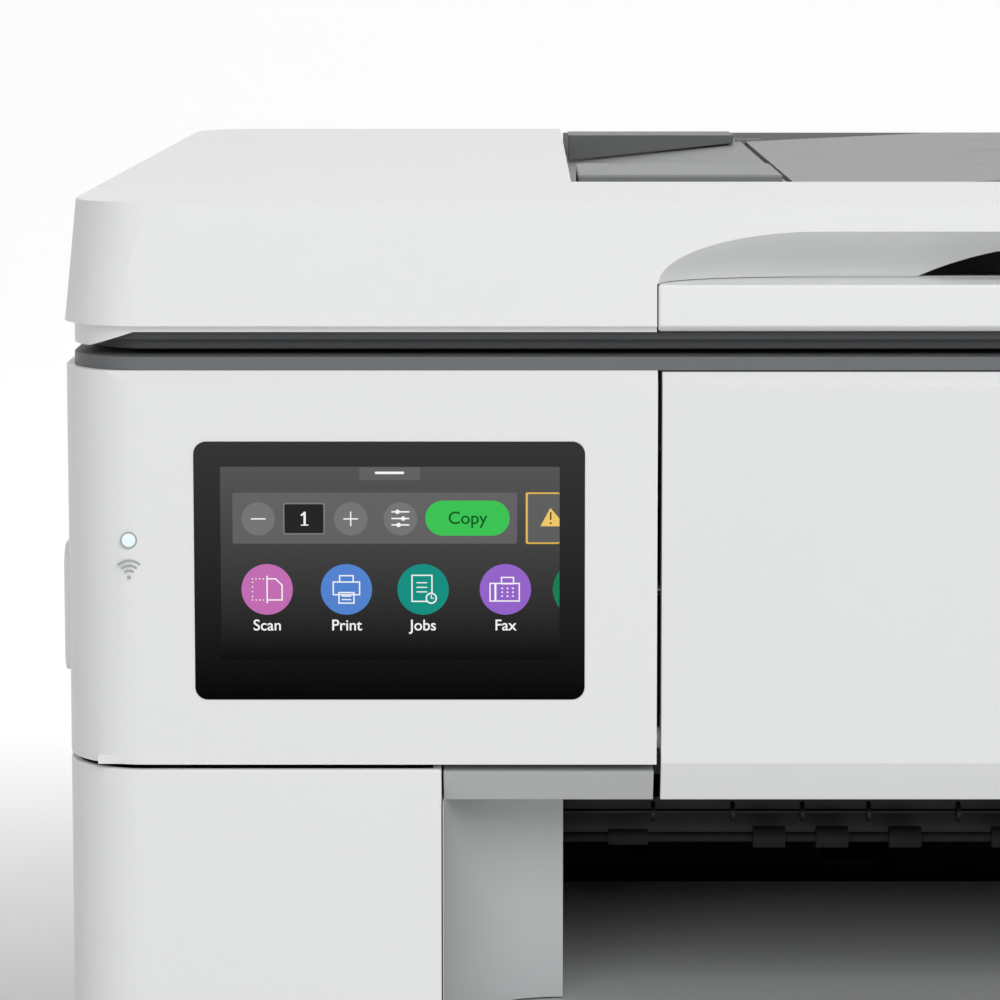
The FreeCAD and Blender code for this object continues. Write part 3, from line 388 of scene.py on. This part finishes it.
def outlineBox(x, z, wide, high, corner, steps=6):
    points = []
    for turn, (dx, dz) in enumerate(((1, 1), (-1, 1), (-1, -1), (1, -1))):
        middle = (x + dx * (wide / 2 - corner), z + dz * (high / 2 - corner))
        for step in range(steps + 1):
            angle = math.radians(90 * (turn + step / steps))
            points.append((middle[0] + corner * math.cos(angle), middle[1] + corner * math.sin(angle)))
    return points


def outlineDisc(x, z, radius, steps=48):
    angles = [2 * math.pi * step / steps for step in range(steps)]
    return [(x + radius * math.cos(angle), z + radius * math.sin(angle)) for angle in angles]


def outlineLine(x0, z0, x1, z1, wide):
    run = Vector((x1 - x0, z1 - z0)).normalized() * wide / 2
    side = Vector((-run.y, run.x))
    ends = [Vector((x0, z0)) - run, Vector((x1, z1)) + run]
    return [tuple(ends[0] + side), tuple(ends[0] - side), tuple(ends[1] - side), tuple(ends[1] + side)]


def flatFaces(builder, outlines, depth):
    for outline in outlines:
        shape = [builder.verts.new((x * mm, depth, z * mm)) for x, z in outline]
        face = builder.faces.new(shape)
        face.normal_update()
        if face.normal.y > 0:
            face.normal_flip()


def onBase(name, outlines, depth, material):
    builder = bmesh.new()
    flatFaces(builder, outlines, depth)
    settle(built(name, builder), material, "base")


def layerDepth(layer):
    return glassFront - layer * screen["layer"] * mm


def flat(name, outlines, layer, material):
    onBase(name, outlines, layerDepth(layer), material)


def words(name, text, size, x, z, layer, material):
    curve = bpy.data.curves.new(name, "FONT")
    curve.body = text
    curve.size = size * mm
    curve.align_x = "CENTER"
    curve.align_y = "CENTER"
    curve.offset = 0.04 * mm
    letters = linked(name, curve)
    graph = bpy.context.evaluated_depsgraph_get()
    mesh = bpy.data.meshes.new_from_object(letters.evaluated_get(graph))
    bpy.data.objects.remove(letters)
    spot = Matrix.Translation((x * mm, layerDepth(layer), z * mm))
    mesh.transform(spot @ Matrix.Rotation(math.radians(90), 4, "X"))
    settle(linked(name, mesh), material, "base")


# the lamp's lit disc and the grey ring around it, standing just off the casing
onBase("lampRim", [outlineDisc(lamp["x"], lamp["z"], lamp["radius"] + lamp["rim"])], lampLow[1] - 0.004 * mm,
       plastic("lampRim", (176, 179, 181), 0.5))
onBase("lampFace", [outlineDisc(lamp["x"], lamp["z"], lamp["radius"])], lampLow[1] - 0.01 * mm, lampFace)


def glow(name, color, fall=0.12):
    return lit(name, color, screen["bottom"] * mm, screen["top"] * mm, fall)


def level(x, z, half, line):
    return outlineLine(x - half, z, x + half, z, line)


def upright(x, z, half, line):
    return outlineLine(x, z - half, x, z + half, line)


pictureWhite = glow("pictureWhite", (246, 246, 246), 0.02)
picture = {"x": (screen["left"] + screen["right"]) / 2, "z": (screen["top"] + screen["bottom"]) / 2,
           "wide": screen["right"] - screen["left"], "high": screen["top"] - screen["bottom"]}
flat("displayPicture", [outlineBox(picture["x"], picture["z"], picture["wide"], picture["high"], 0.3)], 1,
     glow("pictureGround", (84, 84, 84), 0.98))

# the bar along the top: buttons, the number of copies and the pill that starts them
bar = {"x": -202.65, "z": 293.7, "wide": 79.7, "high": 14.4, "buttons": 293.5, "radius": 4.7,
       "minus": -235.3, "count": -222.5, "plus": -209.4, "sliders": -195.5, "pill": -176.7}
flat("copyBar", [outlineBox(bar["x"], bar["z"], bar["wide"], bar["high"], 0.6)], 2,
     glow("barGrey", (100, 100, 100), 0.2))
flat("pullTab", [outlineBox(-198.4, 306.3, 17, 3.6, 0.4)], 2, glow("tabGrey", (98, 98, 98)))
flat("pullLine", [outlineBox(-198.5, 306.5, 8.2, 0.7, 0.34)], 3, pictureWhite)
discs = [outlineDisc(bar[name], bar["buttons"], bar["radius"]) for name in ("minus", "plus", "sliders")]
flat("barButtons", discs, 3, glow("buttonGrey", (118, 118, 118)))
flat("countFrame", [outlineBox(bar["count"], 293.55, 11.7, 9.0, 0.6)], 3, glow("countRim", (126, 126, 126)))
flat("countField", [outlineBox(bar["count"], 293.55, 10.9, 8.2, 0.4)], 4, glow("countDark", (36, 36, 36)))
strokes = [level(bar["minus"], bar["buttons"], 1.9, 0.35), level(bar["plus"], bar["buttons"], 1.9, 0.35),
           upright(bar["plus"], bar["buttons"], 1.9, 0.35)]
for height, knob in ((2.0, -0.8), (0.1, 0.8), (-1.7, -0.5)):
    strokes.append(level(bar["sliders"], bar["buttons"] + height, 2.3, 0.4))
    strokes.append(outlineDisc(bar["sliders"] + knob, bar["buttons"] + height, 0.62, 16))
flat("barSigns", strokes, 5, pictureWhite)
stem = outlineLine(-222.3, 291.9, -222.3, 295.2, 0.62)
flag = outlineLine(-223.1, 294.6, -222.4, 295.2, 0.5)
foot = outlineLine(-223.2, 291.75, -221.4, 291.75, 0.3)
flat("countText", [stem, flag, foot], 5, pictureWhite)
flat("copyPill", [outlineBox(bar["pill"], bar["z"], 23.6, 9.9, 4.9, 12)], 3,
     glow("pillGreen", (60, 196, 84), 0.05))
words("copyText", "Copy", 5.0, bar["pill"], 293.6, 4, glow("copyInk", (18, 92, 34)))

# the notice at the right edge, cut off by the screen
notice = {"x": -153.4, "edge": -150.95}
flat("noticeRim", [outlineBox(-155.65, bar["z"], 9.5, 14.6, 0.5)], 2,
     glow("noticeYellow", (226, 184, 84), 0.1))
flat("noticeField", [outlineBox(-155.35, bar["z"], 8.9, 13.7, 0.3)], 3, glow("noticeGrey", (96, 96, 96), 0.2))
sign = [(-156.3, 291.4), (notice["edge"], 291.4), (notice["edge"], 293.6), (-153.5, 296.6)]
flat("noticeSign", [sign], 4, glow("signYellow", (240, 200, 104), 0.05))
mark = [upright(notice["x"], 294.3, 0.9, 0.4), outlineDisc(notice["x"], 292.3, 0.28, 12)]
flat("noticeMark", mark, 5, glow("signInk", (60, 50, 20)))

# the round task buttons, their words and signs
taskRow = {"z": 273.5, "words": 263.2, "radius": 7.2, "size": 4.4, "line": 0.36}
tasks = [
    ("Scan", -232.95, (200, 112, 184)),
    ("Print", -210.7, (84, 134, 212)),
    ("Jobs", -189.2, (20, 146, 132)),
    ("Fax", -166.1, (152, 102, 206)),
]
for label, x, color in tasks:
    disc = outlineDisc(x, taskRow["z"], taskRow["radius"])
    flat("task" + label, [disc], 2, glow("ink" + label, color, 0.1))
    words("label" + label, label, taskRow["size"], x, taskRow["words"], 3, pictureWhite)
nextTask = [(-152.9, 273.5), (-152.4, 271.0), (-151.4, 268.9), (notice["edge"], 268.4),
            (notice["edge"], 278.6), (-151.4, 278.1), (-152.4, 276.0)]
flat("taskNext", [nextTask], 2, glow("inkNext", (24, 130, 88)))


def frameLines(x, z, wide, high):
    line = taskRow["line"]
    return [level(x, z - high / 2, wide / 2, line), level(x, z + high / 2, wide / 2, line),
            upright(x - wide / 2, z, high / 2, line), upright(x + wide / 2, z, high / 2, line)]


# a page, solid on the right and dotted on the left
def scanSign(x, z):
    line = taskRow["line"]
    lines = [
        upright(x, z, 3.7, line),
        outlineLine(x, z - 3, x + 4.2, z - 3, line),
        outlineLine(x + 4.2, z - 3, x + 4.2, z + 1.2, line),
        outlineLine(x + 4.2, z + 1.2, x + 2.4, z + 3, line),
        outlineLine(x + 2.4, z + 3, x, z + 3, line),
    ]
    for step in range(4):
        lines += [outlineDisc(x - 1.1 - step, z + side * 3, 0.2, 10) for side in (-1, 1)]
        lines.append(outlineDisc(x - 4.1, z - 2 + step * 1.35, 0.2, 10))
    return lines


# a small printer with a printed sheet below
def printSign(x, z):
    lines = frameLines(x, z + 0.3, 7.4, 3.6)
    lines += frameLines(x, z + 3.0, 3.8, 1.8)
    lines += frameLines(x, z - 2.4, 4.2, 3.0)
    return lines + [level(x, z - 1.9, 1.2, 0.3), level(x, z - 2.9, 1.2, 0.3)]


# a list on a page
def jobsSign(x, z):
    rows = [level(x - 0.35, z + 1.9 - step * 1.3, 1.35, 0.3) for step in range(3)]
    return frameLines(x - 0.3, z + 0.3, 5.6, 7.4) + rows


# a telephone set with a sheet behind it
def faxSign(x, z):
    lines = frameLines(x + 0.6, z - 0.8, 6.6, 5.0)
    lines += frameLines(x + 0.6, z + 2.5, 3.4, 1.8)
    lines += frameLines(x - 3.6, z - 0.8, 1.4, 5.0)
    for row in range(3):
        lines += [outlineDisc(x - 0.9 + column * 1.5, z + 0.3 - row * 1.1, 0.26, 10) for column in range(3)]
    return lines


signLines = []
for (label, x, color), draw in zip(tasks, (scanSign, printSign, jobsSign, faxSign)):
    signLines += draw(x, taskRow["z"])
flat("taskSigns", signLines, 3, pictureWhite)

clock = {"x": -186.9, "z": 271.0, "radius": 1.6, "face": 1.2, "line": 0.26}
flat("taskClock", [outlineDisc(clock["x"], clock["z"], clock["radius"], 32)], 4, pictureWhite)
flat("taskClockFace", [outlineDisc(clock["x"], clock["z"], clock["face"], 32)], 5,
     glow("clockFace", (20, 146, 132)))
hands = [outlineLine(clock["x"], clock["z"], clock["x"], clock["z"] + 0.8, clock["line"]),
         outlineLine(clock["x"], clock["z"], clock["x"] + 0.6, clock["z"], clock["line"])]
flat("taskClockHands", hands, 6, pictureWhite)
print("display drawn")


# wireless sign printed on the casing beside the lamp: a dot under three arcs
wireless = {"x": -271.7, "z": 276.9, "dot": 0.55, "arcs": (1.9, 3.3, 4.7), "line": 0.32, "start": 48,
            "open": 84, "steps": 12}


def wirelessSign():
    steps = range(wireless["steps"] + 1)
    angles = [math.radians(wireless["start"] + wireless["open"] * step / wireless["steps"]) for step in steps]
    outlines = [outlineDisc(wireless["x"], wireless["z"], wireless["dot"], 20)]
    for radius in wireless["arcs"]:
        outer = [(radius + wireless["line"], angle) for angle in angles]
        inner = [(radius - wireless["line"], angle) for angle in reversed(angles)]
        outlines.append([(wireless["x"] + reach * math.cos(angle), wireless["z"] + reach * math.sin(angle))
                         for reach, angle in outer + inner])
    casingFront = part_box("upper_casing_left")[0][1]
    onBase("wirelessSign", outlines, casingFront - 0.02 * mm, plastic("signGrey", (176, 179, 181), 0.5))


wirelessSign()


# Geometry Nodes: copies a part made in the tree onto every point of the carrier
class Growth:
    def __init__(self, name, inputs):
        self.tree = bpy.data.node_groups.new(name, "GeometryNodeTree")
        face = self.tree.interface
        face.new_socket("Geometry", in_out="INPUT", socket_type="NodeSocketGeometry")
        for label, value in inputs.items():
            item = face.new_socket(label, in_out="INPUT", socket_type="NodeSocketFloat")
            item.default_value = value
        face.new_socket("Geometry", in_out="OUTPUT", socket_type="NodeSocketGeometry")
        self.start = self.tree.nodes.new("NodeGroupInput")
        self.end = self.tree.nodes.new("NodeGroupOutput")

    def add(self, kind, settings, inputs):
        node = self.tree.nodes.new(kind)
        for key, value in settings.items():
            setattr(node, key, value)
        for key, value in inputs.items():
            if isinstance(value, bpy.types.NodeSocket):
                self.tree.links.new(value, node.inputs[key])
            else:
                node.inputs[key].default_value = value
        return node

    # spreads the made shape over the carrier's points, as plain mesh with one material
    def spread(self, shape, turn, material):
        copies = self.add("GeometryNodeInstanceOnPoints", {},
                          {"Points": self.start.outputs["Geometry"], "Instance": shape, "Rotation": turn})
        solid = self.add("GeometryNodeRealizeInstances", {}, {"Geometry": copies.outputs[0]})
        dressed = self.add("GeometryNodeSetMaterial", {},
                           {"Geometry": solid.outputs[0], "Material": material})
        self.tree.links.new(dressed.outputs[0], self.end.inputs[0])


def grown(name, points, growth, values, material, body):
    builder = bmesh.new()
    for point in points:
        builder.verts.new(point)
    thing = built(name, builder)
    modifier = thing.modifiers.new("growth", "NODES")
    modifier.node_group = growth.tree
    for item in growth.tree.interface.items_tree:
        if item.in_out == "INPUT" and item.name in values:
            modifier[item.identifier] = values[item.name]
    apply(thing)
    settle(thing, material, body)


# toothed discs over the exit rollers
star = {"teeth": 18, "radius": 3.0, "root": 2.4, "thick": 0.5,
        "places": (-122, -98, -77, -57, -30, 0, 30, 57, 77, 98, 122)}
starSizes = {"Radius": star["radius"] * mm, "Root": star["root"] * mm, "Thick": star["thick"] * mm}
starTree = Growth("starWheels", starSizes)
starInput = starTree.start.outputs
starEdge = starTree.add("GeometryNodeCurveStar", {},
                        {"Points": star["teeth"], "Outer Radius": starInput["Radius"],
                         "Inner Radius": starInput["Root"]})
starFace = starTree.add("GeometryNodeFillCurve", {}, {"Curve": starEdge.outputs[0]})
starDisc = starTree.add("GeometryNodeExtrudeMesh", {},
                        {"Mesh": starFace.outputs[0], "Offset Scale": starInput["Thick"]})
starBack = starTree.add("GeometryNodeFlipFaces", {}, {"Mesh": starFace.outputs[0]})
starSolid = starTree.add("GeometryNodeJoinGeometry", {}, {})
starTree.tree.links.new(starDisc.outputs[0], starSolid.inputs[0])
starTree.tree.links.new(starBack.outputs[0], starSolid.inputs[0])
starWhole = starTree.add("GeometryNodeMergeByDistance", {},
                         {"Geometry": starSolid.outputs[0], "Distance": 0.00001})
starTree.spread(starWhole.outputs[0], (0, math.radians(90), 0), black)
starLow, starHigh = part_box("star_wheels")
starY = (starLow[1] + starHigh[1]) / 2
starZ = (starLow[2] + starHigh[2]) / 2
starPoints = [(x * mm, starY, starZ) for x in star["places"]]
grown("starWheels", starPoints, starTree, starSizes, black, "star_shaft")

# cooling ribs above the rear door
rib = {"count": 34, "pitch": 5.2, "wide": 2.4, "deep": 0.9, "high": 34, "middle": 285}
ribSizes = {"Wide": rib["wide"] * mm, "Deep": rib["deep"] * mm, "High": rib["high"] * mm}
ribTree = Growth("coolingRibs", ribSizes)
ribInput = ribTree.start.outputs
ribSize = ribTree.add("ShaderNodeCombineXYZ", {},
                      {"X": ribInput["Wide"], "Y": ribInput["Deep"], "Z": ribInput["High"]})
ribShape = ribTree.add("GeometryNodeMeshCube", {}, {"Size": ribSize.outputs[0]})
ribTree.spread(ribShape.outputs[0], (0, 0, 0), white)
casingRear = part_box("upper_casing_left")[1][1]
ribY = casingRear + rib["deep"] * mm / 2
ribPoints = [((index - (rib["count"] - 1) / 2) * rib["pitch"] * mm, ribY, rib["middle"] * mm)
             for index in range(rib["count"])]
grown("coolingRibs", ribPoints, ribTree, ribSizes, white, "base")
print("repeated parts grown")


# a dark strip laid just above the document flap where a shallow groove runs, painted shade in place of a cut;
# it falls away to the left of the printer's middle
grooveShade = {"path": [(-50, 60), (0, 48), (110, 46)], "wide": 1.0, "above": 0.05, "fall": 4.5 / 75}


def flapGrooveShade():
    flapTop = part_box("document_flap")[1][2] / mm
    builder = bmesh.new()
    rows = []
    for x, y in grooveShade["path"]:
        z = flapTop + min(x, 0) * grooveShade["fall"] + grooveShade["above"]
        edges = [(x, y + side * grooveShade["wide"] / 2, z) for side in (-1, 1)]
        rows.append([builder.verts.new([part * mm for part in edge]) for edge in edges])
    for (low, high), (nextLow, nextHigh) in zip(rows, rows[1:]):
        builder.faces.new((low, nextLow, nextHigh, high))
    # the strip takes the dark chassis colour, as the painted shade of the groove
    settle(built("flapGrooveShade", builder), frameDark, "flap")


flapGrooveShade()

# metres; the paper glows behind the printer only, between the two levels
studio = {"half": 6.0, "front": -6.0, "bend": 2.0, "round": 1.0, "top": 5.0, "glow": 0.4, "glowFrom": 0.25,
          "glowTo": 0.9, "world": 0.26}


def paperMaterial():
    paper = ShaderTree("paperWhite")
    behind = paper.rise("Y", studio["glowFrom"], studio["glowTo"])
    paper.set(Base_Color=paper.mix(behind, linear(226, 226, 226), linear(250, 250, 250)), Roughness=0.9,
              Emission_Color=paper.mix(behind, linear(0, 0, 0), linear(255, 255, 255)))
    paper.shader.inputs["Emission Strength"].default_value = studio["glow"]
    return paper.material


# floor and backdrop in one sweep
def backdrop():
    builder = bmesh.new()
    bend, turn = studio["bend"], studio["round"]
    profile = [(studio["front"], 0.0), (bend, 0.0)]
    for angle in range(10, 91, 10):
        lean = math.radians(angle)
        profile.append((bend + turn * math.sin(lean), turn - turn * math.cos(lean)))
    profile.append((bend + turn, studio["top"]))
    rows = [[builder.verts.new((side * studio["half"], y, z)) for side in (-1, 1)] for y, z in profile]
    for lower, upper in zip(rows, rows[1:]):
        builder.faces.new((lower[0], lower[1], upper[1], upper[0]))
    sweep = built("backdrop", builder)
    for polygon in sweep.data.polygons:
        polygon.use_smooth = True
    paint(sweep, paperMaterial())


backdrop()

# metres and watts
lights = {
    "keyLight": {"spot": (0.6, -2.3, 1.9), "size": 1.6, "power": 36, "aim": (-0.05, -0.1, 0.3)},
    "topLight": {"spot": (0.2, 0.4, 2.4), "size": 2.0, "power": 11, "aim": (0, 0, 0.3)},
    "fillLight": {"spot": (-1.0, -2.4, 0.9), "size": 1.2, "power": 6, "aim": (0, -0.1, 0.25)},
}
for name, light in lights.items():
    softbox = bpy.data.lights.new(name, "AREA")
    softbox.energy = light["power"]
    softbox.size = light["size"]
    stand = linked(name, softbox)
    stand.location = light["spot"]
    toward = Vector(light["aim"]) - Vector(light["spot"])
    stand.rotation_euler = toward.to_track_quat("-Z", "Y").to_euler()

world = bpy.data.worlds.new("studio")
bpy.context.scene.world = world
world.use_nodes = True
sky = world.node_tree.nodes["Background"]
sky.inputs["Color"].default_value = (1, 1, 1, 1)
sky.inputs["Strength"].default_value = studio["world"]
bpy.context.scene.view_settings.view_transform = "Standard"

# long lens, a little above the lid, looking slightly down; place in millimetres
view = {"x": -160.6, "y": -1258.0, "z": 450.6, "lens": 133.2, "tilt": 6.1, "shiftX": -0.025, "shiftY": -0.15}
cameraData = bpy.data.cameras.new("camera")
cameraData.lens = view["lens"]
cameraData.sensor_width = 36
cameraData.shift_x = view["shiftX"]
cameraData.shift_y = view["shiftY"]
cameraData.clip_start = 0.05
camera = linked("camera", cameraData)
camera.location = (view["x"] * mm, view["y"] * mm, view["z"] * mm)
camera.rotation_euler = (math.radians(90 - view["tilt"]), 0, 0)
bpy.context.scene.camera = camera
print("stage, lights and camera set")
